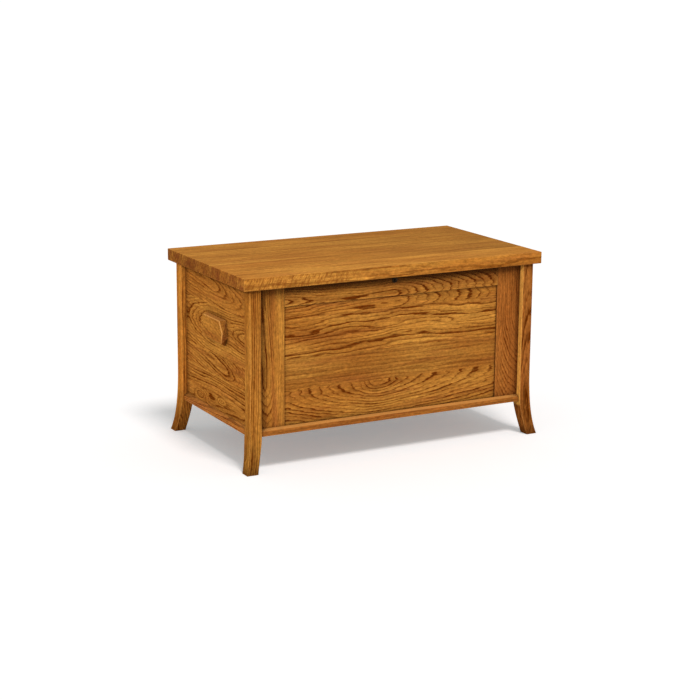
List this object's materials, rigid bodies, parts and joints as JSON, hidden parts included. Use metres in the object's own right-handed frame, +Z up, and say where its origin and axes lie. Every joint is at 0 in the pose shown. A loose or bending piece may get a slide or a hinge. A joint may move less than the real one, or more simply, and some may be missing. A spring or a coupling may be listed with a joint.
{
  "type": "blanket chest",
  "caption": "Rectangular oak blanket chest on outward-curving sabre feet, with a hinged overhanging lid, recessed front panel, end grips and a small front lock.",
  "frame": {"origin": "on the floor under the middle of the chest: the centre of the bounding box's bottom face", "axes": "+X along the chest from its left end to its right end as seen from the front, +Y from the front to the back, +Z up"},
  "size_m": [0.978, 0.551, 0.56],
  "materials": {
    "oak_post": "satin lacquered oak, straight grain",
    "oak_frame": "satin lacquered oak, plain-sawn",
    "oak_panel": "satin lacquered oak, figured plain-sawn boards",
    "oak_strip": "satin lacquered oak, reddish",
    "oak_lid": "satin lacquered oak boards",
    "oak_handle": "satin lacquered oak",
    "cedar": "planed bare cedar",
    "inner_wood": "planed oak, one thin coat",
    "hinge_metal": "bronze-plated steel, satin",
    "lock_brass": "satin brass",
    "lock_plug_metal": "darkened brass",
    "lock_steel": "zinc-plated pressed steel"
  },
  "bodies": {
    "chest": {"back_bottom_rail": "oak_frame", "back_panel": "inner_wood", "back_top_rail": "oak_frame", "base_strip_front": "oak_strip", "base_strip_left": "oak_strip", "base_strip_right": "oak_strip", "bottom_bearer": "inner_wood", "bottom_board_1": "cedar", "bottom_board_2": "cedar", "bottom_board_3": "cedar", "bottom_board_4": "cedar", "bottom_board_5": "cedar", "cleat_back": "inner_wood", "cleat_front": "inner_wood", "cleat_left": "inner_wood", "cleat_right": "inner_wood", "end_panel_left": "oak_panel", "end_panel_right": "oak_panel", "front_bottom_rail": "oak_frame", "front_panel": "oak_panel", "front_stile_left": "oak_frame", "front_stile_right": "oak_frame", "front_top_rail": "oak_frame", "handle_left": "oak_handle", "handle_right": "oak_handle", "hinge_left_case_leaf": "hinge_metal", "hinge_left_pin": "hinge_metal", "hinge_middle_case_leaf": "hinge_metal", "hinge_middle_pin": "hinge_metal", "hinge_right_case_leaf": "hinge_metal", "hinge_right_pin": "hinge_metal", "lock_case": "lock_steel", "lock_tube": "lock_brass", "post_back_left": "oak_post", "post_back_right": "oak_post", "post_front_left": "oak_post", "post_front_right": "oak_post"},
    "lid": {"hinge_left_lid_leaf": "hinge_metal", "hinge_middle_lid_leaf": "hinge_metal", "hinge_right_lid_leaf": "hinge_metal", "lid_batten_left": "inner_wood", "lid_batten_right": "inner_wood", "lid_slab": "oak_lid", "lock_strike_plate": "lock_brass"},
    "lock_plug": {"lock_plug": "lock_plug_metal", "lock_cam": "lock_steel"},
    "lock_bolt": {"lock_bolt": "lock_brass"}
  },
  "joints": [
    {"name": "lid_hinge", "type": "hinge", "parent": "chest", "child": "lid", "pos_m": [0, 0.263, 0.5195], "axis": [-1, 0, 0], "range_deg": [0, 100]},
    {"name": "lock_turn", "type": "hinge", "parent": "chest", "child": "lock_plug", "pos_m": [0, -0.2418, 0.51198], "axis": [0, -1, 0], "range_deg": [0, 90]},
    {"name": "bolt_slide", "type": "slide", "parent": "chest", "child": "lock_bolt", "axis": [1, 0, 0], "range_m": [0, 0.00848]}
  ],
  "couplings": [
    {"joint": "lock_turn", "follows": "bolt_slide", "rad_per_m": 185.1}
  ]
}
